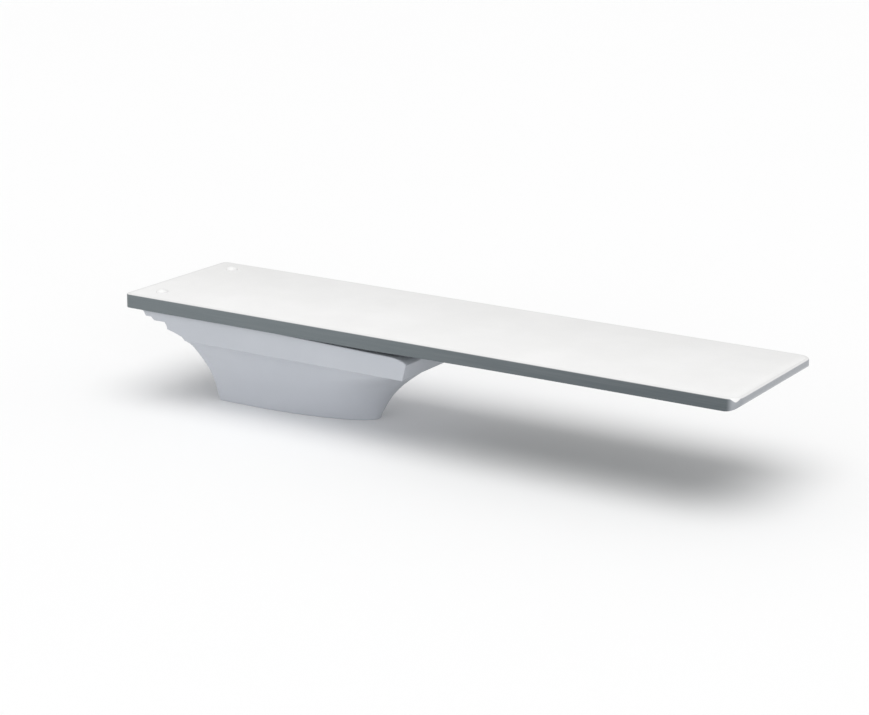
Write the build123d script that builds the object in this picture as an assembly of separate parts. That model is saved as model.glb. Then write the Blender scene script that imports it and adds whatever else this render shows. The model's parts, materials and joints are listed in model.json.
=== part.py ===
from build123d import *
import os
from math import exp

# Springboard for a pool side: a flexing board bolted to a moulded stand.
# Millimetres. +X toward the tip, +Y across the board, +Z up. The origin is on the deck,
# under the middle of the board.

os.makedirs("parts", exist_ok=True)

# ---------------------------------------------------------------- board
LENGTH = 1829.0            # board, end to end
WIDTH = 457.0              # board, side to side
TREAD_Z = 300.0            # height of the tread above the deck
THICK = 39.0               # board thickness from its root to the fulcrum
TIP_THICK = 33.0           # thickness it tapers toward
TAPER = 300.0              # length constant of the taper
BACK_R, TIP_R = 16.0, 36.0       # plan radii of the corners
EDGE_R = 4.0               # rounding of the top edge
NOSE_FLAT, NOSE_IN = 12.0, 40.0  # upright part of the tip face, run of the rise below it
SKIN = 4.5                 # laminate over the core, top and bottom
RAIL = 14.0                # solid laminate along the sides and the back
NOSE_SOLID = 62.0          # solid laminate at the tip
TREAD_T, TREAD_IN = 0.8, 9.0     # grit layer: thickness, margin round it
BACK, TIP = -LENGTH / 2, LENGTH / 2
BASE_Z = TREAD_Z - THICK

# ---------------------------------------------------------------- flexing line
FULCRUM = BACK + 800.0     # the free length starts here
PIVOT_Z = TREAD_Z - THICK / 2
KNUCKLE_R, KNUCKLE_GAP = THICK * 0.4, 0.3
SPLIT = 0.35               # each side of the split, above the knuckle
RELIEF = 2.2               # opening of the split at the underside

# ---------------------------------------------------------------- stand
LIP_BACK = 57.0            # how far the board overhangs the stand's back edge
STAND_L = 852.0
FRONT_LEAN = 11.0          # how far the front overhangs from the crease to the top
STAND_BACK = BACK + LIP_BACK
STAND_FRONT = STAND_BACK + STAND_L
STAND_W = WIDTH - 10.0
WALL = 5.0
SEAT_GAP = 0.3             # between the board and the top of the cap
CAP_H = 67.0               # board's underside down to the crease
CREASE_Z = BASE_Z - CAP_H  # joint between the cap and the pedestal
DECK_Z = BASE_Z - SEAT_GAP       # top of the cap, level part
SLOPE_RUN = 366.0          # length over which the cap's top falls away
SLOPE_END = STAND_FRONT - 45.0
SLOPE_X = SLOPE_END - SLOPE_RUN
SLOPE_DROP = 9.0
LIP_T = 16.0               # lip that the board is bolted through
LIP_Z = BASE_Z - LIP_T
STAND_R = 2.5              # rounding of the mouldings' corners

# ---------------------------------------------------------------- fixings
BOLT_X = STAND_BACK + 20.0
BOLT_Y = 160.0             # each side of the centre line
BOLT_R = 6.0
SLEEVE_R = BOLT_R + 3.0
HOLE_GAP = 0.6             # radial clearance of a bolt in a plate
FIT_GAP = 0.3              # radial clearance of a bolt in a washer or sleeve
SMALL_R = 3.0              # bolts and screws inside the stand
ANCHOR_X, ANCHOR_DX, ANCHOR_DY, ANCHOR_R = STAND_BACK + 343.0, 270.0, 80.0, 7.0

# ---------------------------------------------------------------- steel frame
PLATE_T = 15.0             # base plate
POST_W, POST_D, TUBE_WALL = 40.0, 50.0, 5.0
RAIL_Y = 52.0              # centre of each long tube from the centre line
TUBE_H = 35.0
TUBE_Z1 = DECK_Z - WALL - SLOPE_DROP - 2.5
TUBE_Z0 = TUBE_Z1 - TUBE_H
TUBE_X0, TUBE_X1 = STAND_BACK + 149.5, STAND_FRONT - 44.0
POST_X = (STAND_BACK + 273.0, STAND_BACK + 403.0)
REAR_PLATE_Z = LIP_Z + WALL


def slab(points, y0, y1):
    """Solid with this XZ outline between two Y planes."""
    outline = Polyline(*[(x, y0, z) for x, z in points], close=True)
    return extrude(make_face(outline), amount=y1 - y0, dir=(0, 1, 0))


def block(x0, x1, y0, y1, z0, z1):
    return Pos((x0 + x1) / 2, (y0 + y1) / 2, (z0 + z1) / 2) * Box(x1 - x0, y1 - y0, z1 - z0)


def rod(x, y, z0, z1, r):
    return Pos(x, y, (z0 + z1) / 2) * Cylinder(r, z1 - z0)


def ring(x, y, z0, z1, r_out, r_in):
    return rod(x, y, z0, z1, r_out) - rod(x, y, z0 - 1, z1 + 1, r_in)


def hexagon(x, y, z0, z1, across, bore=0.0):
    nut = Pos(x, y, z0) * extrude(RegularPolygon(across / 2, 6, major_radius=False), z1 - z0)
    return nut - rod(x, y, z0 - 1, z1 + 1, bore) if bore else nut


def tube_x(x0, x1, y0, y1, z0, z1, wall):
    """Square-cornered tube that runs along X."""
    inner = block(x0 - 1, x1 + 1, y0 + wall, y1 - wall, z0 + wall, z1 - wall)
    return block(x0, x1, y0, y1, z0, z1) - inner


def rounded_plan(inset, z0, z1):
    """The board's plan outline, moved in by inset."""
    half = WIDTH / 2 - inset
    plan = block(BACK + inset, TIP - inset, -half, half, z0, z1)
    ends = plan.edges().filter_by(Axis.Z).group_by(Axis.X)
    plan = fillet(ends[0], BACK_R - inset)
    ends = plan.edges().filter_by(Axis.Z).group_by(Axis.X)
    return fillet(ends[-1], TIP_R - inset)


def under(x):
    """Height of the board's underside."""
    if x <= FULCRUM:
        return BASE_Z
    return TREAD_Z - TIP_THICK - (THICK - TIP_THICK) * exp(-(x - FULCRUM) / TAPER)


def deck(x):
    """Height of the top of the cap."""
    run = min(max((x - SLOPE_X) / (SLOPE_END - SLOPE_X), 0.0), 1.0)
    return DECK_Z - SLOPE_DROP * run


def save(name, *solids):
    group = solids[0] if len(solids) == 1 else Compound(children=list(solids))
    export_step(group, f"parts/{name}.step")


# ================================================================ board
# One moulded blank: parallel to the fulcrum, then thinning to a bevelled tip.
half_w = WIDTH / 2
nose_x = TIP - NOSE_IN
taper = [FULCRUM + (nose_x - FULCRUM) * s for s in (0, 0.1, 0.22, 0.38, 0.6, 1)]
nose_low = TREAD_Z - NOSE_FLAT
rise = [(TIP - NOSE_IN * s, nose_low - (nose_low - under(nose_x)) * (1 - (1 - s) ** 2) ** 0.5)
        for s in (0, 0.03, 0.1, 0.22, 0.4, 0.65, 1)]
outline = [
    Line((BACK, -half_w, BASE_Z), (BACK, -half_w, TREAD_Z)),
    Line((BACK, -half_w, TREAD_Z), (TIP, -half_w, TREAD_Z)),
    Line((TIP, -half_w, TREAD_Z), (TIP, -half_w, nose_low)),
    Spline(*[(x, -half_w, z) for x, z in rise]),
    Spline(*[(x, -half_w, under(x)) for x in reversed(taper)]),
    Line((FULCRUM, -half_w, BASE_Z), (BACK, -half_w, BASE_Z)),
]
blank = extrude(make_face(outline), amount=WIDTH, dir=(0, 1, 0))
blank = blank & rounded_plan(0.0, BASE_Z - 5, TREAD_Z + 5)
blank = fillet(blank.edges().group_by(Axis.Z)[-1], EDGE_R)

# The split at the fulcrum: a knuckle on the free length in a socket on the fixed length.
knuckle = Pos(FULCRUM, 0, PIVOT_Z) * Rot(90, 0, 0) * Cylinder(KNUCKLE_R, WIDTH + 20)
socket = Pos(FULCRUM, 0, PIVOT_Z) * Rot(90, 0, 0) * Cylinder(KNUCKLE_R + KNUCKLE_GAP, WIDTH + 20)
free_side = slab([(FULCRUM + SPLIT, TREAD_Z + 20), (FULCRUM + SPLIT, PIVOT_Z - THICK * 0.21),
                  (FULCRUM + RELIEF, BASE_Z), (FULCRUM + RELIEF, BASE_Z - 20),
                  (TIP + 20, BASE_Z - 20), (TIP + 20, TREAD_Z + 20)], -half_w - 5, half_w + 5)
free_side = free_side + knuckle
fixed_side = block(BACK - 20, FULCRUM - SPLIT, -half_w - 5, half_w + 5, BASE_Z - 20, TREAD_Z + 20)
fixed_side = fixed_side - socket

grit = rounded_plan(TREAD_IN, TREAD_Z - TREAD_T, TREAD_Z)
bolts = [(BOLT_X, side * BOLT_Y) for side in (-1, 1)]
bore = [rod(x, y, BASE_Z - 5, TREAD_Z + 5, SLEEVE_R + 0.1) for x, y in bolts]

# Laminated timber core: six strips side by side, in each length of the board.
strips = 6
pitch = (WIDTH - 2 * RAIL) / strips
core_root, core_free = [], []
for i in range(strips):
    y0 = -half_w + RAIL + i * pitch + 0.1
    y1 = y0 + pitch - 0.2
    core_root.append(block(BACK + RAIL, FULCRUM - 24, y0, y1, BASE_Z + SKIN, TREAD_Z - SKIN))
    xs = [FULCRUM + 24 + (TIP - NOSE_SOLID - FULCRUM - 24) * s for s in (0, 0.15, 0.35, 0.6, 1)]
    edge = [(xs[-1], TREAD_Z - SKIN), (xs[0], TREAD_Z - SKIN)]
    core_free.append(slab(edge + [(x, under(x) + SKIN) for x in xs], y0, y1))
core_root = [strip - bore for strip in core_root]

skin = blank - grit
skin_root = (skin & fixed_side) - core_root - bore
skin_free = (skin & free_side) - core_free
tread_root = (grit & fixed_side) - bore
tread_free = grit & free_side
save("board_skin_root", skin_root)
save("board_skin_free", skin_free)
save("board_core_root", *core_root)
save("board_core_free", *core_free)
save("tread_root", tread_root)
save("tread_free", tread_free)

# ================================================================ cap of the stand
# Moulded box under the board: stepped lip at the back, rolled front edge, open inside.
# Underside of the lip and its steps: in from the stand's back edge, down from the board.
steps = [(5, 6.5), (11, LIP_T), (29, LIP_T), (39, 25), (75, 25), (81, 33), (84, 44),
         (105, 49), (133, 58), (143, CAP_H)]
steps = [(STAND_BACK, DECK_Z)] + [(STAND_BACK + x, BASE_Z - drop) for x, drop in steps]
roll = [(0, 17), (1.2, 13.2), (6, 9.6), (16, 5.4), (30, 1.8)]        # rolled front edge: in, down
front = [(STAND_FRONT - FRONT_LEAN, CREASE_Z)]
front += [(STAND_FRONT - x, deck(SLOPE_END) - drop) for x, drop in roll] + [(SLOPE_END, deck(SLOPE_END))]
cap = slab(steps + front + [(SLOPE_X, DECK_Z)], -STAND_W / 2, STAND_W / 2)
sides = cap.edges().group_by(Axis.Y)
cap = fillet([e for e in (*sides[0], *sides[-1]) if e.center().Z > CREASE_Z + 1], STAND_R)
hollow = [(45.5, 19.5), (79, 19.5), (86, 30), (89, 39.5), (108, 44), (136, 53), (146, CAP_H - WALL)]
hollow = [(STAND_BACK + 45.5, DECK_Z - WALL)] + [(STAND_BACK + x, BASE_Z - drop) for x, drop in hollow]
front_top = deck(SLOPE_END)
hollow += [(STAND_FRONT - FRONT_LEAN - WALL, CREASE_Z + WALL), (STAND_FRONT - WALL - 1.5, front_top - 20),
           (STAND_FRONT - 14, front_top - 12), (STAND_FRONT - 30, front_top - 7.5),
           (SLOPE_END, front_top - WALL), (SLOPE_X, DECK_Z - WALL)]
cap -= slab(hollow, -STAND_W / 2 + WALL, STAND_W / 2 - WALL)
frame_y = RAIL_Y + POST_W / 2 + 12
# The frame's posts pass through here.
window = (POST_X[0] - POST_D / 2 - 43, POST_X[1] + POST_D / 2 + 37, -frame_y, frame_y)
cap -= block(*window, CREASE_Z - 1, CREASE_Z + WALL + 1)

# Steel plate that the board bolts to: let into the lip.
plate_x0, plate_x1, plate_y = STAND_BACK + 7.0, STAND_BACK + 217.0, BOLT_Y + 28.0
plate_z1 = DECK_Z - WALL - 0.1
cap -= block(plate_x0 - 0.5, STAND_BACK + 47, -plate_y - 0.5, plate_y + 0.5, REAR_PLATE_Z, DECK_Z - WALL)
rear_plate = block(plate_x0, plate_x1, -plate_y, plate_y, REAR_PLATE_Z, plate_z1)

# Rubber mat between the board and the cap, in a shallow recess.
mat = (STAND_BACK + 5, STAND_BACK + 243, -STAND_W / 2 + 18, STAND_W / 2 - 18)
mat_z = BASE_Z - 2.3
cap -= block(mat[0] - 0.5, mat[1] + 0.5, mat[2] - 0.5, mat[3] + 0.5, mat_z, BASE_Z + 2)
rear_mat = block(*mat, mat_z, BASE_Z)

through = [rod(x, y, LIP_Z - 5, BASE_Z + 5, BOLT_R + HOLE_GAP) for x, y in bolts]
# Joint bolts: distance from the stand's back edge, distance from the centre line.
JOINT_AT = ((167, 160), (363, 160), (553, 150), (713, 100))
joint = [(STAND_BACK + x, side * y) for x, y in JOINT_AT for side in (-1, 1)]
joint_hole = [rod(x, y, CREASE_Z - WALL - 5, CREASE_Z + WALL + 5, SMALL_R + FIT_GAP) for x, y in joint]
seat_screw = [(FULCRUM - 20, side * 155.0) for side in (-1, 1)]
seat_hole = [rod(x, y, TUBE_Z1 - 2, BASE_Z, SMALL_R + FIT_GAP) for x, y in seat_screw]
spot_face = [rod(x, y, LIP_Z - 20, LIP_Z, BOLT_R + 9) for x, y in bolts]
save("stand_cap", cap - through - spot_face - joint_hole - seat_hole)
save("rear_mat", rear_mat - through)
save("rear_plate", rear_plate - through)

# ================================================================ pedestal
# Moulded shell that narrows from the full rectangle under the cap to a boat-shaped foot:
# flat at the back, straight sides, a tight nose in front.
# share of the height, then from the stand's back edge: back, end of the straight side, nose;
# then how much narrower than the top on each side, and the fullness of the side and of the nose
SECTIONS = [
    (0.00, 168.5, 276, 630.0, 123.5, 0.41, 0.62),
    (0.10, 163.0, 331, 637.0, 122.0, 0.45, 0.62),
    (0.21, 159.0, 386, 648.0, 118.5, 0.50, 0.62),
    (0.42, 154.8, 457, 676.5, 102.5, 0.58, 0.61),
    (0.62, 147.0, 528, 719.0, 80.5, 0.66, 0.61),
    (0.78, 141.5, 616, 759.0, 57.5, 0.76, 0.73),
    (0.91, 140.5, 706, 799.0, 31.5, 0.85, 0.83),
    (1.00, 142.0, 806, 838.0, 0.0, 0.95, 0.95),
]


def section(share, back, straight, nose, narrower, side_k, nose_k, inset=0.0):
    """One level of the pedestal as a face; inset moves it inward."""
    z, w = share * CREASE_Z, STAND_W / 2 - narrower - inset
    x0, x1, x2 = STAND_BACK + back + inset, STAND_BACK + straight, STAND_BACK + nose - 1.4 * inset
    knee, tip = x1 + side_k * (x2 - x1), nose_k * w
    return make_face([
        Line((x0, w, z), (x0, -w, z)),
        Line((x0, -w, z), (x1, -w, z)),
        Bezier((x1, -w, z), (knee, -w, z), (x2, -tip, z), (x2, 0, z)),
        Bezier((x2, 0, z), (x2, tip, z), (knee, w, z), (x1, w, z)),
        Line((x1, w, z), (x0, w, z)),
    ])


outer = loft([section(*s) for s in SECTIONS])
inner = loft([section(*s, inset=WALL) for s in SECTIONS])
inner -= block(BACK, TIP, -WIDTH, WIDTH, CREASE_Z - WALL, CREASE_Z + 10)
pedestal = outer - inner - block(*window, CREASE_Z - WALL - 1, CREASE_Z + 1)
save("pedestal", pedestal - joint_hole)

# ================================================================ steel frame
# Base plate that is anchored to the deck, through four open holes.
half_plate = [(178, 80), (338, 80), (438, 67), (508, 48)]
plate_outline = [(x, -y) for x, y in half_plate] + [(x, y) for x, y in reversed(half_plate)]
plate_outline = Polyline(*[(STAND_BACK + x, y, 0) for x, y in plate_outline], close=True)
base_plate = extrude(make_face(plate_outline), PLATE_T)
for i in (-1, 1):
    for j in (-1, 1):
        base_plate -= rod(ANCHOR_X + i * ANCHOR_DX / 2, j * ANCHOR_DY / 2, -1, PLATE_T + 1, ANCHOR_R)
save("base_plate", base_plate)

posts, gussets, rails, plugs, ends, packers, ribs = [], [], [], [], [], [], []
for side in (-1, 1):
    y0, y1 = side * RAIL_Y - POST_W / 2, side * RAIL_Y + POST_W / 2
    for x in POST_X:
        post = block(x - POST_D / 2, x + POST_D / 2, y0, y1, PLATE_T, TUBE_Z0)
        post -= block(x - POST_D / 2 + TUBE_WALL, x + POST_D / 2 - TUBE_WALL,
                      y0 + TUBE_WALL, y1 - TUBE_WALL, PLATE_T - 1, TUBE_Z0 + 1)
        posts.append(post)
        way = 1 if x == POST_X[0] else -1
        foot = x + way * POST_D / 2
        web = [(foot, PLATE_T), (foot + way * 32, PLATE_T), (foot + way * 32, PLATE_T + 8),
               (foot + way * 8, PLATE_T + 60), (foot, PLATE_T + 60)]
        gussets.append(slab(web, side * RAIL_Y - 4, side * RAIL_Y + 4))
    rails.append(tube_x(TUBE_X0, TUBE_X1, y0, y1, TUBE_Z0, TUBE_Z1, TUBE_WALL))
    ends.append(block(TUBE_X0 - 6, TUBE_X0, y0, y1, TUBE_Z0 + 1.5, TUBE_Z1))
    gap = TUBE_WALL + 0.2
    plug = block(TUBE_X1 - 18, TUBE_X1, y0 + gap, y1 - gap, TUBE_Z0 + gap, TUBE_Z1 - gap)
    plugs.append(plug + block(TUBE_X1, TUBE_X1 + 3, y0, y1, TUBE_Z0, TUBE_Z1))
    packers.append(block(TUBE_X0 + 4, plate_x1, y0, y1, TUBE_Z1, REAR_PLATE_Z))
    rib = [(51, 0), (143.5, 0), (143.5, 38), (112, 29), (93.5, 24), (90.5, 14.5), (82, 6), (51, 6)]
    rib = [(STAND_BACK + x, REAR_PLATE_Z - drop) for x, drop in rib]
    ribs.append(slab(rib, side * RAIL_Y - 4, side * RAIL_Y + 4))
save("posts", *posts)
save("gussets", *gussets)
save("side_rails", *rails)
save("rail_ends", *ends)
save("rail_plugs", *plugs)
save("packers", *packers)
save("rear_ribs", *ribs)

# Cross tubes between the two rails.
cross = []
inside = RAIL_Y - POST_W / 2
for x in (*POST_X, FULCRUM):
    beam = block(x - 16, x + 16, -inside, inside, TUBE_Z0 + 2, TUBE_Z1 - 2)
    cross.append(beam - block(x - 12, x + 12, -inside - 1, inside + 1, TUBE_Z0 + 6, TUBE_Z1 - 6))
save("cross_tubes", *cross)

# ================================================================ fulcrum
# Steel saddle under the cap, aluminium seat above it, and a rubber cushion that the board bears on.
x0, x1 = FULCRUM - 40, FULCRUM + 30
SEAT_HALF = 170.0          # half length of the cushion's seat
saddle = slab([(x0, TUBE_Z1), (x1, TUBE_Z1), (x1, deck(x1) - WALL), (x0, deck(x0) - WALL)],
              -SEAT_HALF + 5, SEAT_HALF - 5)
save("fulcrum_saddle", saddle - seat_hole)
seat_z = BASE_Z - 4.8
x0, x1 = FULCRUM - 40, FULCRUM - 2
seat = slab([(x0, deck(x0)), (x1, deck(x1)), (x1, seat_z), (x0, seat_z)], -SEAT_HALF, SEAT_HALF)
save("fulcrum_seat", seat - seat_hole)
x0, x1, crown, pad_y = FULCRUM - 37, FULCRUM - 4, BASE_Z - 0.1, SEAT_HALF - 30
pad = make_face([
    Line((x0, -pad_y, seat_z), (x1, -pad_y, seat_z)),
    Line((x1, -pad_y, seat_z), (x1, -pad_y, seat_z + 3)),
    ThreePointArc((x1, -pad_y, seat_z + 3), ((x0 + x1) / 2, -pad_y, crown), (x0, -pad_y, seat_z + 3)),
    Line((x0, -pad_y, seat_z + 3), (x0, -pad_y, seat_z)),
])
save("fulcrum_cushion", extrude(pad, amount=2 * pad_y, dir=(0, 1, 0)))

# ================================================================ fasteners
# Board bolts: domed head on a cup washer and a rubber washer, steel sleeve through the board,
# plate washer and lock nut under the lip, and a white snap cap over each head.
washer_z, head_z, head_r, head_h = TREAD_Z + 1.0, TREAD_Z + 3.0, BOLT_R + 4.0, 4.0
flat = 1.2                 # upright rim of the head
crown_r = (head_r**2 + (head_h - flat)**2) / (2 * (head_h - flat))
dome = Pos(0, 0, head_h - crown_r) * Sphere(crown_r) & rod(0, 0, 0, head_h + 1, head_r)
shank_low = LIP_Z - 17.0
dome_bolt = [Pos(x, y, head_z) * dome + rod(x, y, shank_low, head_z + 1, BOLT_R) for x, y in bolts]
save("board_bolts", *dome_bolt)
save("cup_washers", *[ring(x, y, washer_z, head_z, BOLT_R + 7, BOLT_R + FIT_GAP) for x, y in bolts])
save("rubber_washers", *[ring(x, y, TREAD_Z, washer_z, BOLT_R + 7.5, BOLT_R + FIT_GAP) for x, y in bolts])
save("bolt_sleeves", *[ring(x, y, BASE_Z, TREAD_Z, SLEEVE_R, BOLT_R + FIT_GAP) for x, y in bolts])
save("lip_washers", *[ring(x, y, LIP_Z - 2.5, LIP_Z, BOLT_R + 8, BOLT_R + FIT_GAP) for x, y in bolts])
save("lock_nuts", *[hexagon(x, y, LIP_Z - 13, LIP_Z - 2.5, BOLT_R * 3, BOLT_R + 0.05) for x, y in bolts])
cap_r, cap_h, cap_rim, cap_wall = BOLT_R + 10.5, 9.2, 2.4, 1.2
cap_ball = (cap_r**2 + (cap_h - cap_rim)**2) / (2 * (cap_h - cap_rim))
centre_z = TREAD_Z + cap_h - cap_ball
snap = Pos(0, 0, centre_z) * Sphere(cap_ball) & rod(0, 0, TREAD_Z, TREAD_Z + 20, cap_r)
hollow_cap = Pos(0, 0, centre_z) * Sphere(cap_ball - cap_wall)
snap -= hollow_cap & rod(0, 0, TREAD_Z - 1, TREAD_Z + 20, cap_r - cap_wall)
save("bolt_caps", *[Pos(x, y, 0) * snap for x, y in bolts])

# Bolts that join the cap's floor to the pedestal's flange, and their nuts.
top, low = CREASE_Z + WALL, CREASE_Z - WALL
across = SMALL_R * 3.3
hex_bolt = [hexagon(x, y, top, top + 4, across) + rod(x, y, low - 8, top + 1, SMALL_R) for x, y in joint]
save("joint_bolts", *hex_bolt)
save("joint_nuts", *[hexagon(x, y, low - 5, low, across, SMALL_R + 0.05) for x, y in joint])

# Screws and nuts that hold the fulcrum seat down through the cap and the saddle.
seat_bolt = [rod(x, y, seat_z, seat_z + 3, SMALL_R * 2) + rod(x, y, TUBE_Z1 - 8, seat_z + 1, SMALL_R)
             for x, y in seat_screw]
save("seat_screws", *seat_bolt)
save("seat_nuts", *[hexagon(x, y, TUBE_Z1 - 5, TUBE_Z1, across, SMALL_R + 0.05) for x, y in seat_screw])
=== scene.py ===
import bmesh
import bpy
import json
from math import exp, radians, sqrt
from mathutils import Matrix, Vector


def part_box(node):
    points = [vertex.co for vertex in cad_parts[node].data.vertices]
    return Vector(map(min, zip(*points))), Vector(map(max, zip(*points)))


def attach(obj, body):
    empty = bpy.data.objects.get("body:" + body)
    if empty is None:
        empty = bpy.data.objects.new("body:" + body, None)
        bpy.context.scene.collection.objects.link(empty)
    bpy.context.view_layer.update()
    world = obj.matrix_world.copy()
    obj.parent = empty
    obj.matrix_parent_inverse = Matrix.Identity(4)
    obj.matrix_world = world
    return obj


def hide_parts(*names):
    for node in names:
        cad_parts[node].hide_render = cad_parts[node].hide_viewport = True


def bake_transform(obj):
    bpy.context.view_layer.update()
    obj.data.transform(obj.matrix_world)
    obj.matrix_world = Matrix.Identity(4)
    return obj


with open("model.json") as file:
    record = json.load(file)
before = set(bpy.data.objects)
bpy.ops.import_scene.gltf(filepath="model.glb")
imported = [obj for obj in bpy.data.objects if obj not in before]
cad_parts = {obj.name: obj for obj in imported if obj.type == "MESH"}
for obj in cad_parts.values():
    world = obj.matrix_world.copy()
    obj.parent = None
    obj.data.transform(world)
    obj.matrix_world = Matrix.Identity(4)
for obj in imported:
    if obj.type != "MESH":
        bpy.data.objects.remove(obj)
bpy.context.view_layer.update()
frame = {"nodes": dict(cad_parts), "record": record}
bpy.ops.object.select_all(action="DESELECT")

# ---------------------------------------------------------------- board
# One moulded length of glass-fibre laminate over timber, 39 mm thick from its back to the fulcrum
# and thinning to a tip that curves up from below. The top is white and rolls over the edge, and
# the side, from just under the roll, is gelcoated grey.
(BACK, LOW_Y, BASE_Z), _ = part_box("board_skin_root")
_, (TIP, HIGH_Y, TREAD_Z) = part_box("board_skin_free")
FULCRUM = frame["record"]["behaviour"]["joints"][0]["pos_m"][0]
THICK, TIP_THICK, TAPER = TREAD_Z - BASE_Z, 0.033, 0.300
MIDDLE_Z = BASE_Z + THICK / 2
NOSE_FLAT, NOSE_IN = 0.012, 0.040
BACK_R, TIP_R, TOP_R, LOWER_R = 0.016, 0.036, 0.004, 0.001
CORNER_REACH = 0.02
SAME_PLACE = 1e-5
FLAT_NORMAL, SIDE_NORMAL = 0.9, 0.3


def thickness(x):
    """How thick the board is at x."""
    depth = TIP_THICK + (THICK - TIP_THICK) * exp(-max(x - FULCRUM, 0.0) / TAPER)
    into_nose = max(x - (TIP - NOSE_IN), 0.0) / NOSE_IN
    return NOSE_FLAT + (depth - NOSE_FLAT) * sqrt(max(1 - into_nose**2, 0.0))


def pick(kind, test):
    """In edit mode: selects the verts, edges or faces that pass the test, and nothing else."""
    bpy.context.tool_settings.mesh_select_mode = [kind == k for k in ("verts", "edges", "faces")]
    mesh = bmesh.from_edit_mesh(bpy.context.object.data)
    for part in (*mesh.verts, *mesh.edges, *mesh.faces):
        part.select_set(False)
    for part in getattr(mesh, kind):
        if test(part):
            part.select_set(True)
    mesh.select_flush_mode()
    bmesh.update_edit_mesh(bpy.context.object.data)


def start_box(name, low, high):
    """A box from corner to corner, with its object at the origin, in edit mode."""
    low, high = Vector(low), Vector(high)
    bpy.ops.object.select_all(action="DESELECT")
    bpy.ops.mesh.primitive_cube_add(size=1, location=(low + high) / 2, scale=high - low)
    piece = bpy.context.object
    piece.name = piece.data.name = name
    bpy.ops.object.transform_apply(location=True, rotation=False, scale=True)
    bpy.ops.object.mode_set(mode="EDIT")
    return piece


def upright_at(edge, end):
    """Whether the edge is a vertical one at this end of the board."""
    a, b = (v.co for v in edge.verts)
    return (a - b).xy.length < SAME_PLACE and abs(a.x - end) < CORNER_REACH


def rim(edge, up):
    """Whether the edge is where the top, or the underside, turns into the side."""
    faces = [f.normal.z * up for f in edge.link_faces]
    return len(faces) == 2 and max(faces) > FLAT_NORMAL and min(faces) < SIDE_NORMAL


def board_plan(inset):
    """Rounds the four upright edges of a box that lies this far inside the board's outline."""
    pick("edges", lambda e: upright_at(e, BACK))
    bpy.ops.mesh.bevel(offset=BACK_R - inset, segments=8)
    pick("edges", lambda e: upright_at(e, TIP))
    bpy.ops.mesh.bevel(offset=TIP_R - inset, segments=16)


def cut_across(stations):
    """Cuts the whole mesh at each x, so that it can bend there."""
    for x in stations:
        bpy.ops.mesh.select_all(action="SELECT")
        bpy.ops.mesh.bisect(plane_co=(x, 0, 0), plane_no=(1, 0, 0))


def thin_to_tip():
    """Raises what lies below the board's middle height by as much as the board thins there."""
    stations = [FULCRUM]
    for x in sorted(v.co.x for v in bmesh.from_edit_mesh(bpy.context.object.data).verts):
        if x > stations[-1] + SAME_PLACE:
            stations.append(x)
    for x in stations:
        pick("verts", lambda v: v.co.z < MIDDLE_Z and 0 <= v.co.x - x <= SAME_PLACE)
        bpy.ops.transform.translate(value=(0, 0, THICK - thickness(x)))


def finish_mesh(piece, smooth_under):
    """Back to object mode, smooth across edges under this many degrees. Each vertex keeps its
    unbent place in an attribute, which the material reads."""
    bpy.ops.object.mode_set(mode="OBJECT")
    bpy.ops.object.shade_smooth_by_angle(angle=radians(smooth_under))
    places = piece.data.attributes.new("unbent", "FLOAT_VECTOR", "POINT")
    places.data.foreach_set("vector", [n for vertex in piece.data.vertices for n in vertex.co])


FREE_STEPS = 32
ROOT_CUTS = [BACK + step for step in (0.2, 0.4, 0.6)]
FREE_CUTS = [FULCRUM + (TIP - NOSE_IN - FULCRUM) * i / FREE_STEPS for i in range(FREE_STEPS + 1)]
NOSE_CUTS = [TIP - NOSE_IN * share**2
             for share in (0.93, 0.85, 0.77, 0.68, 0.59, 0.5, 0.4, 0.3, 0.2, 0.1)]
board = start_box("board", (BACK, LOW_Y, BASE_Z), (TIP, HIGH_Y, TREAD_Z))
board_plan(inset=0)
pick("edges", lambda e: rim(e, 1))
bpy.ops.mesh.bevel(offset=TOP_R, segments=5)
pick("edges", lambda e: rim(e, -1))
bpy.ops.mesh.bevel(offset=LOWER_R, segments=3)
cut_across(ROOT_CUTS + FREE_CUTS + NOSE_CUTS)
thin_to_tip()
finish_mesh(board, smooth_under=30)


class Value:
    """A number that varies over a surface. Its sums add the Math nodes."""

    def __init__(self, finish, socket):
        self.finish, self.socket = finish, socket

    def maths(self, operation, a, b):
        return self.finish.node("Math", {"operation": operation}, {0: a, 1: b})

    def __add__(self, other):
        return self.maths("ADD", self, other)

    def __sub__(self, other):
        return self.maths("SUBTRACT", self, other)

    def __rsub__(self, other):
        return self.maths("SUBTRACT", other, self)

    def __mul__(self, other):
        return self.maths("MULTIPLY", self, other)

    __radd__, __rmul__ = __add__, __mul__

    def fade(self, low, high):
        """0 at low and 1 at high, with a smooth step between them."""
        smooth = {"interpolation_type": "SMOOTHSTEP"}
        return self.finish.node("MapRange", smooth, {"Value": self, "From Min": low, "From Max": high})


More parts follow.
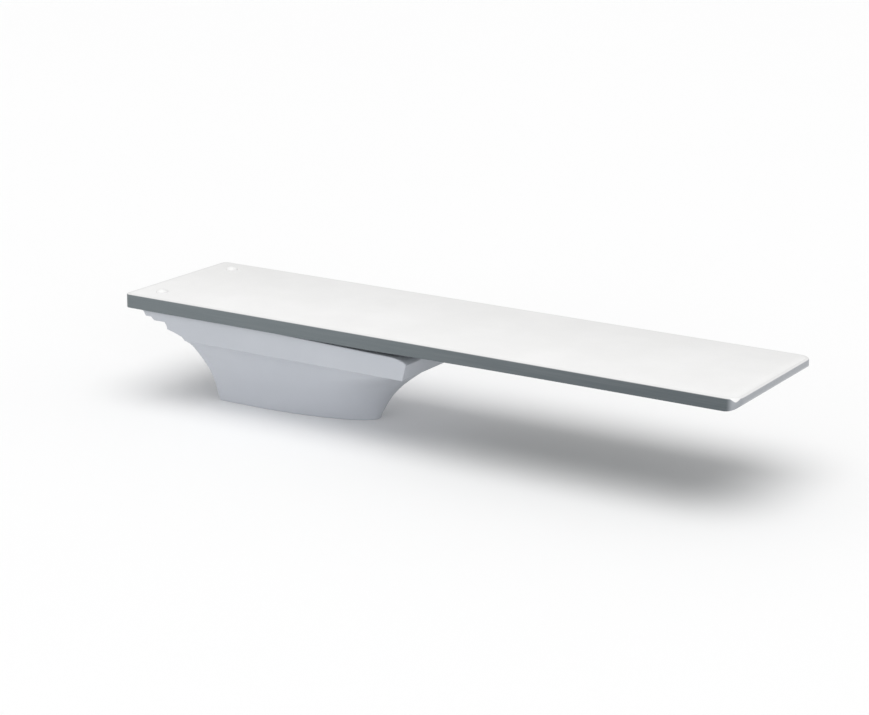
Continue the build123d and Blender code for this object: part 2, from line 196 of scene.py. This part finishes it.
class Finish:
    """One material, made node by node. Where its piece bends, its pattern bends with the piece."""

    # The Mix node's sockets for colours go by number, because their names repeat.
    MIX_FACTOR, MIX_A, MIX_B, MIX_RESULT = 0, 6, 7, 2

    def __init__(self, name, roughness, metallic=0.0, bends=False, **fixed):
        self.material = bpy.data.materials.new(name)
        self.material.use_nodes = True
        self.tree = self.material.node_tree
        self.shader = self.tree.nodes["Principled BSDF"]
        for socket, value in {"Roughness": roughness, "Metallic": metallic, **fixed}.items():
            self.shader.inputs[socket].default_value = value
        if bends:
            self.place = self.node("Attribute", {"attribute_name": "unbent"}, out="Vector")
        else:
            self.place = self.node("TexCoord", out="Object")

    def node(self, kind, settings=None, inputs=None, out=0):
        """A node of this type, with its settings, then the values or links of its sockets."""
        made = self.tree.nodes.new("ShaderNode" + kind)
        for name, value in (settings or {}).items():
            setattr(made, name, value)
        for key, value in (inputs or {}).items():
            if isinstance(value, Value):
                self.tree.links.new(value.socket, made.inputs[key])
            else:
                made.inputs[key].default_value = value
        return Value(self, made.outputs[out])

    def axis(self, letter):
        return self.node("SeparateXYZ", inputs={0: self.place}, out=letter)

    def noise(self, scale, detail=3.0, roughness=0.55, stretch=(1, 1, 1)):
        place = self.place
        if stretch != (1, 1, 1):
            place = self.node("Mapping", inputs={"Vector": place, "Scale": stretch})
        return self.node("TexNoise", inputs={
            "Vector": place, "Scale": scale, "Detail": detail, "Roughness": roughness})

    def blend(self, factor, a, b):
        """A colour between a and b."""
        a, b = (c if isinstance(c, Value) else (*c, 1.0) for c in (a, b))
        return self.node("Mix", {"data_type": "RGBA"},
                         {self.MIX_FACTOR: factor, self.MIX_A: a, self.MIX_B: b}, self.MIX_RESULT)

    def drive(self, socket, value):
        self.tree.links.new(value.socket, self.shader.inputs[socket])

    def relief(self, height, depth, strength):
        """A bump of this real depth, in metres."""
        bump = self.node("Bump", inputs={"Strength": strength, "Distance": depth, "Height": height})
        self.drive("Normal", bump)


WHITE_GEL, STREAK_GREY = (0.80, 0.80, 0.795), (0.24, 0.255, 0.265)
EDGE_BACK, EDGE_FRONT = (0.118, 0.142, 0.152), (0.066, 0.083, 0.093)
# The end face's lighter grey is painted light from beyond the tip.
LIT_END_GREY = (0.305, 0.322, 0.348)
gelcoat = Finish("board_gelcoat", roughness=0.34, bends=True,
                 **{"Coat Weight": 0.25, "Coat Roughness": 0.12})
up, along, sideways = gelcoat.axis("Z"), gelcoat.axis("X"), gelcoat.axis("Y")
side_colour = gelcoat.blend(along.fade(BACK + 0.4, TIP), EDGE_BACK, EDGE_FRONT)
streaks = gelcoat.noise(7.0, detail=4.0, stretch=(1, 4, 30))
side_colour = gelcoat.blend(streaks.fade(0.35, 0.75) * 0.12, side_colour, STREAK_GREY)
# Painted light: the end face and the turn of its corners go lighter, for light from beyond the tip.
side_colour = gelcoat.blend(along.fade(TIP - 0.031, TIP - 0.015), side_colour, LIT_END_GREY)
# The white top comes down over the roll to the grey side at a soft line, its softness partly painted
# shade of the roll. The white dips at the two corners of the tip, a painted highlight there.
WHITE_NONE, WHITE_FULL = TREAD_Z - 0.0033, TREAD_Z - 0.0002
DIP_START, DIP_FULL, HIGHLIGHT_DIP = 0.024, 0.008, 0.009
near_tip = along.fade(TIP - DIP_START, TIP - DIP_FULL)
near_side = (sideways * sideways).fade((HIGH_Y - DIP_START) ** 2, (HIGH_Y - DIP_FULL) ** 2)
# The white top, its edge softened by painted shade and dipped by a painted highlight at the corners.
white = (up + near_tip * near_side * HIGHLIGHT_DIP).fade(WHITE_NONE, WHITE_FULL)
gelcoat.drive("Base Color", gelcoat.blend(white, side_colour, WHITE_GEL))
gelcoat.drive("Roughness", gelcoat.noise(60.0) * 0.16 + 0.28)
gelcoat.relief(gelcoat.noise(38.0, detail=2.0), depth=0.00035, strength=0.5)
board.data.materials.append(gelcoat.material)
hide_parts("board_skin_root", "board_skin_free")
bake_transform(board)

# ---------------------------------------------------------------- tread
# A coat of white silica grit in resin, rolled on over the top and masked 9 mm in from the edge.
# Fine and even, with the odd coarser grain, and dead matt.
TREAD_IN, COAT, PROUD, WORN_EDGE = 0.009, 0.0009, 0.0004, 0.0005
GRIT_DEEP, GRIT_PALE = (0.805, 0.803, 0.798), (0.835, 0.833, 0.829)
COARSE_GRAIN = (0.66, 0.66, 0.65)
tread = start_box("tread", (BACK + TREAD_IN, LOW_Y + TREAD_IN, TREAD_Z - COAT),
                  (TIP - TREAD_IN, HIGH_Y - TREAD_IN, TREAD_Z + PROUD))
board_plan(inset=TREAD_IN)
pick("edges", lambda e: rim(e, 1))
bpy.ops.mesh.bevel(offset=WORN_EDGE, segments=2)
cut_across(FREE_CUTS)
finish_mesh(tread, smooth_under=40)
grit = Finish("grit_tread", roughness=0.85, bends=True, **{"Specular IOR Level": 0.25})
grains = grit.node("TexVoronoi", {"feature": "F1"}, {"Vector": grit.place, "Scale": 900.0},
                   out="Distance")
drift = grit.noise(5.0)
coarse = grit.noise(420.0, detail=2.0)
tone = grit.blend(drift.fade(0.3, 0.7), GRIT_DEEP, GRIT_PALE)
grit.drive("Base Color", grit.blend(coarse.fade(0.60, 0.72) * 0.30, tone, COARSE_GRAIN))
grit.relief((1 - grains) * 0.7 + coarse * 0.6, depth=0.0005, strength=0.6)
tread.data.materials.append(grit.material)
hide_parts("tread_root", "tread_free")
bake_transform(tread)

# ---------------------------------------------------------------- core
# Six sawn softwood strips side by side under the skin, from the back to just short of the tip.
# They thin with the board.
SKIN, EDGE_LAMINATE, NOSE_SOLID, STRIPS, HALF_SEAM = 0.0045, 0.014, 0.062, 6, 0.0002
LATE_WOOD, EARLY_WOOD = (0.50, 0.34, 0.18), (0.68, 0.50, 0.30)
timber = Finish("timber_core", roughness=0.75, bends=True)
rings = timber.noise(26.0, detail=5.0, stretch=(0.25, 5, 5))
timber.drive("Base Color", timber.blend(rings.fade(0.3, 0.7), LATE_WOOD, EARLY_WOOD))
timber.relief(rings, depth=0.0004, strength=0.5)
pitch = (HIGH_Y - LOW_Y - 2 * EDGE_LAMINATE) / STRIPS
strips = []
for i in range(STRIPS):
    low_y = LOW_Y + EDGE_LAMINATE + i * pitch
    strip = start_box(f"core_strip_{i + 1}",
                      (BACK + EDGE_LAMINATE, low_y + HALF_SEAM, BASE_Z + SKIN),
                      (TIP - NOSE_SOLID, low_y + pitch - HALF_SEAM, TREAD_Z - SKIN))
    cut_across(FREE_CUTS[:-1:2])
    thin_to_tip()
    finish_mesh(strip, smooth_under=30)
    strip.data.materials.append(timber.material)
    strips.append(strip)
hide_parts("board_core_root", "board_core_free")
for strip in strips:
    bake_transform(strip)


def refinish(finish, *nodes):
    """Gives CAD nodes this finish."""
    for name in nodes:
        node = frame["nodes"][name]
        node.data.materials.clear()
        node.data.materials.append(finish.material)


# ---------------------------------------------------------------- bolt caps
# White snap caps of satin polypropylene over the two bolt heads, with a faint grain of dust.
SNAP_WHITE, SNAP_DUST = (0.80, 0.80, 0.795), (0.74, 0.74, 0.735)
snap_cap = Finish("snap_cap_white", roughness=0.55)
dusty = snap_cap.noise(160.0)
snap_cap.drive("Base Color", snap_cap.blend(dusty.fade(0.45, 0.8), SNAP_WHITE, SNAP_DUST))
snap_cap.drive("Roughness", dusty * 0.2 + 0.45)
snap_cap.relief(dusty, depth=0.0001, strength=0.3)
refinish(snap_cap, "bolt_caps")

# ---------------------------------------------------------------- stand shells
# Two grey polyethylene mouldings, the box-like cap over the waisted pedestal. They come from the
# mould with a fine orange-peel skin, faintly cloudy. Both are one plastic; the cap's greys are a
# little darker than the pedestal's, painted shade on the upright cap. The cap's CAD shape has its
# corners rounded already, and the pedestal's are rounded here.
# The cap's greys are painted shade, darker than the pedestal's though both are one plastic.
CAP_PALE_SHADED, CAP_DEEP_SHADED = (0.475, 0.496, 0.534), (0.448, 0.470, 0.508)
PEDESTAL_PALE, PEDESTAL_DEEP = (0.528, 0.550, 0.592), (0.500, 0.522, 0.564)
PEDESTAL_CORNER = 0.0015
FLAT_WITHIN, SHARP_OVER, SMOOTH_UNDER = radians(0.6), radians(50), radians(30)


def moulding(node, corner, pale, deep):
    """A merged copy of a CAD moulding in two close greys. A corner above 0 rounds its edges."""
    shell = frame["nodes"][node].copy()
    shell.data = shell.data.copy()
    shell.name = shell.data.name = node + "_moulding"
    bpy.context.collection.objects.link(shell)
    bpy.ops.object.select_all(action="DESELECT")
    bpy.context.view_layer.objects.active = shell
    shell.select_set(True)
    bpy.ops.object.mode_set(mode="EDIT")
    bpy.ops.mesh.select_all(action="SELECT")
    bpy.ops.mesh.remove_doubles(threshold=SAME_PLACE)
    bpy.ops.mesh.dissolve_limited(angle_limit=FLAT_WITHIN)
    bpy.ops.object.mode_set(mode="OBJECT")
    if corner:
        rounding = shell.modifiers.new("rounding", "BEVEL")
        rounding.width, rounding.segments = corner, 3
        rounding.limit_method, rounding.angle_limit = "ANGLE", SHARP_OVER
        bpy.ops.object.modifier_apply(modifier=rounding.name)
    bpy.ops.object.shade_smooth_by_angle(angle=SMOOTH_UNDER)
    moulded = Finish(node + "_polyethylene", roughness=0.52, **{"Specular IOR Level": 0.4})
    clouds = moulded.noise(3.2, detail=4.0).fade(0.3, 0.7)
    orange_peel = moulded.noise(520.0, detail=2.0) * 0.6 + moulded.noise(34.0, detail=2.0) * 0.8
    moulded.drive("Base Color", moulded.blend(clouds, deep, pale))
    moulded.drive("Roughness", moulded.noise(90.0) * 0.14 + 0.44)
    moulded.relief(orange_peel, depth=0.0006, strength=0.35)
    shell.data.materials.clear()
    shell.data.materials.append(moulded.material)
    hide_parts(node)
    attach(shell, "stand")


# The cap takes the greys with painted shade.
moulding("stand_cap", 0, CAP_PALE_SHADED, CAP_DEEP_SHADED)
moulding("pedestal", PEDESTAL_CORNER, PEDESTAL_PALE, PEDESTAL_DEEP)

# ---------------------------------------------------------------- rubber
# Black sheet rubber: the mat under the board's back end, the fulcrum's cushion and the bolts'
# washers. Matt, with a faint grey bloom. The mat's black is partly painted shade: it darkens the
# shadow line in the gap under the board's back end.
RUBBER_BLACK, RUBBER_BLOOM = (0.014, 0.014, 0.015), (0.040, 0.040, 0.042)
rubber = Finish("black_rubber", roughness=0.80)
bloom = rubber.noise(45.0, detail=4.0).fade(0.4, 0.8)
rubber.drive("Base Color", rubber.blend(bloom, RUBBER_BLACK, RUBBER_BLOOM))
rubber.relief(rubber.noise(700.0, detail=2.0), depth=0.0003, strength=0.5)
# The rear mat's black is partly painted shade along the gap under the board's back end.
refinish(rubber, "rear_mat", "fulcrum_cushion", "rubber_washers")

# ---------------------------------------------------------------- frame
# Welded square tube and plate under a grey powder coat with its usual fine leather grain.
POWDER_DEEP, POWDER_PALE = (0.070, 0.078, 0.086), (0.095, 0.103, 0.112)
powder = Finish("powder_coat", roughness=0.48)
grain = powder.noise(650.0, detail=2.0)
powder.drive("Base Color", powder.blend(powder.noise(9.0).fade(0.3, 0.7), POWDER_DEEP, POWDER_PALE))
powder.drive("Roughness", grain * 0.2 + 0.40)
powder.relief(grain, depth=0.0004, strength=0.5)
refinish(powder, "rear_plate", "base_plate", "posts", "gussets", "side_rails", "rail_ends",
         "packers", "rear_ribs", "cross_tubes", "fulcrum_saddle")

# The plugs in the open tube ends are black moulded nylon.
NYLON_BLACK, NYLON_WORN = (0.016, 0.016, 0.017), (0.030, 0.030, 0.031)
nylon = Finish("black_nylon", roughness=0.55)
nylon.drive("Base Color", nylon.blend(nylon.noise(80.0), NYLON_BLACK, NYLON_WORN))
nylon.relief(nylon.noise(800.0), depth=0.0002, strength=0.4)
refinish(nylon, "rail_plugs")

# ---------------------------------------------------------------- metal fittings
# The cushion's seat is mill-finished aluminium, drawn along its length.
MILL_DEEP, MILL_BRIGHT = (0.66, 0.67, 0.68), (0.78, 0.79, 0.80)
mill = Finish("mill_aluminium", roughness=0.38, metallic=1.0)
drawn = mill.noise(240.0, stretch=(1, 0.03, 1))
mill.drive("Base Color", mill.blend(drawn, MILL_DEEP, MILL_BRIGHT))
mill.drive("Roughness", drawn * 0.25 + 0.26)
mill.relief(drawn, depth=0.0001, strength=0.4)
refinish(mill, "fulcrum_seat")

# Board bolts, washers, sleeves and lock nuts are stainless steel, the rest bright zinc plate.
STAINLESS_DEEP, STAINLESS_BRIGHT = (0.70, 0.70, 0.69), (0.80, 0.80, 0.79)
stainless = Finish("stainless", roughness=0.26, metallic=1.0)
turned = stainless.noise(900.0, detail=2.0, stretch=(1, 1, 0.1))
stainless.drive("Base Color", stainless.blend(turned, STAINLESS_DEEP, STAINLESS_BRIGHT))
stainless.drive("Roughness", turned * 0.2 + 0.2)
stainless.relief(turned, depth=0.0001, strength=0.3)
refinish(stainless, "board_bolts", "cup_washers", "bolt_sleeves", "lip_washers", "lock_nuts")

ZINC_BLUE, ZINC_WARM = (0.62, 0.65, 0.69), (0.74, 0.74, 0.72)
zinc = Finish("zinc_plate", roughness=0.34, metallic=1.0)
bluish = zinc.noise(130.0)
zinc.drive("Base Color", zinc.blend(bluish, ZINC_BLUE, ZINC_WARM))
zinc.drive("Roughness", bluish * 0.25 + 0.24)
zinc.relief(zinc.noise(1000.0), depth=0.0001, strength=0.3)
refinish(zinc, "joint_bolts", "joint_nuts", "seat_screws", "seat_nuts")

# ---------------------------------------------------------------- studio
# A plain pale floor that runs out of view into white, under an even white sky, with wide soft
# light from overhead, less of it from beyond the tip, and least from the near side.
FLOOR_SIZE, FLOOR_Z = 60, -0.0005
FLOOR_DEEP, FLOOR_PALE = (0.915, 0.915, 0.915), (0.925, 0.925, 0.925)
SKY_WHITE, SKY_STRENGTH = (1, 1, 1, 1), 0.55
bpy.ops.object.select_all(action="DESELECT")
bpy.ops.mesh.primitive_plane_add(size=FLOOR_SIZE, location=(0, 0, FLOOR_Z))
floor = bpy.context.object
floor.name = "studio_floor"
pale = Finish("studio_floor", roughness=0.9)
pale.drive("Base Color", pale.blend(pale.noise(0.5), FLOOR_DEEP, FLOOR_PALE))
floor.data.materials.append(pale.material)


def soft_sun(name, comes_from, strength, spread):
    """Even light from one direction, its shadows softened over this many degrees."""
    lamp = bpy.data.lights.new(name, "SUN")
    lamp.energy, lamp.angle = strength, radians(spread)
    holder = bpy.data.objects.new(name, lamp)
    bpy.context.collection.objects.link(holder)
    holder.rotation_euler = Vector(comes_from).to_track_quat("Z", "Y").to_euler()


soft_sun("overhead", comes_from=(0.1, -0.2, 1.0), strength=1.58, spread=60)
soft_sun("near_side", comes_from=(-0.2, -1.0, 0.08), strength=0.50, spread=40)
soft_sun("tip_side", comes_from=(1.0, -0.9, 0.12), strength=0.78, spread=40)
world = bpy.data.worlds.new("studio")
world.use_nodes = True
sky = world.node_tree.nodes["Background"].inputs
sky["Color"].default_value, sky["Strength"].default_value = SKY_WHITE, SKY_STRENGTH
bpy.context.scene.world = world
bpy.context.scene.view_settings.view_transform = "Standard"

CAMERA_PLACE = (2.92351, -4.87724, 1.80866)
CAMERA_RIGHT = (0.851808, 0.523740, 0.010905)
CAMERA_UP = (-0.151129, 0.225757, 0.962390)
CAMERA_BACK = (0.501580, -0.821419, 0.271454)
lens = bpy.data.cameras.new("camera")
lens.lens, lens.sensor_width = 93.032, 36.0
lens.shift_x, lens.shift_y = -0.000575, 0.000575
camera = bpy.data.objects.new("camera", lens)
bpy.context.collection.objects.link(camera)
turn = Matrix((CAMERA_RIGHT, CAMERA_UP, CAMERA_BACK)).transposed().to_4x4()
camera.matrix_world = Matrix.Translation(CAMERA_PLACE) @ turn
bpy.context.scene.camera = camera
